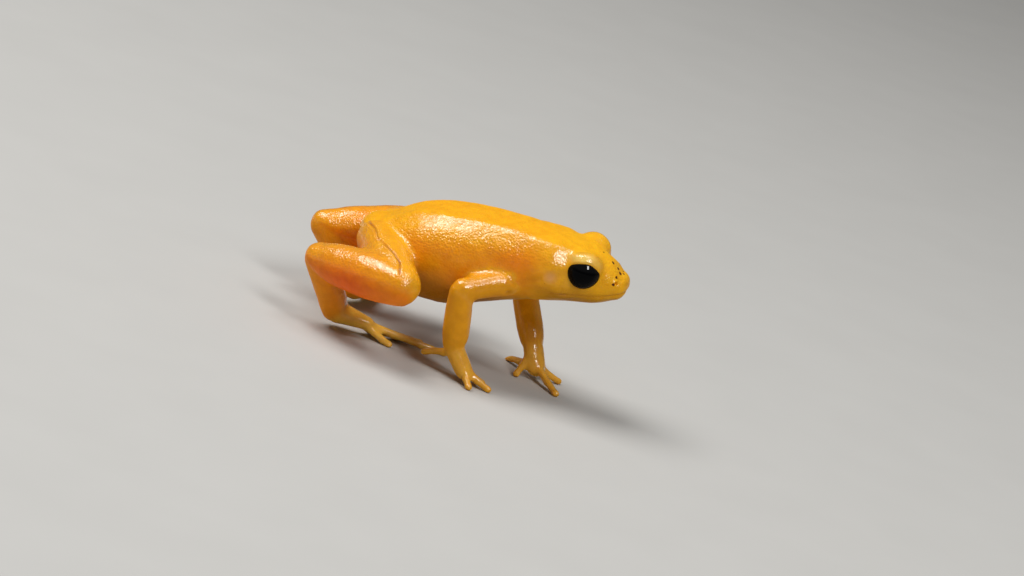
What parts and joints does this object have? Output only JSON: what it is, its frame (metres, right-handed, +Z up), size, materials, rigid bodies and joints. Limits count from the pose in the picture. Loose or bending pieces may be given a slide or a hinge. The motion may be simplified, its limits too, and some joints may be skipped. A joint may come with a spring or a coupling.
{
  "type": "golden mantella",
  "caption": "Still life-size model of a golden mantella, a small orange frog with black eyes, standing on spread hands and feet with its back high and its hind legs folded",
  "frame": {"origin": "on the floor, under the middle of the box round the whole frog", "axes": "+X is the way the frog looks, +Y is the frog's left, +Z is up"},
  "size_m": [0.028, 0.0238, 0.0143],
  "materials": {
    "orange_skin": "moist, finely granular orange skin",
    "yellow_skin": "moist, smooth golden yellow skin",
    "flushed_skin": "moist orange skin with a red flush",
    "pale_skin": "smooth pale yellow skin of the fingers and toes",
    "eye": "wet, glossy black"
  },
  "bodies": {
    "root": {"torso": "orange_skin", "head": "orange_skin", "lower_jaw": "yellow_skin", "eye_left": "eye", "eye_right": "eye", "upper_arm_left": "yellow_skin", "upper_arm_right": "yellow_skin", "forearm_left": "yellow_skin", "forearm_right": "yellow_skin", "hand_left": "pale_skin", "hand_right": "pale_skin", "thigh_left": "orange_skin", "thigh_right": "orange_skin", "shank_left": "flushed_skin", "shank_right": "flushed_skin", "tarsus_left": "orange_skin", "tarsus_right": "orange_skin", "foot_left": "pale_skin", "foot_right": "pale_skin"}
  },
  "joints": []
}
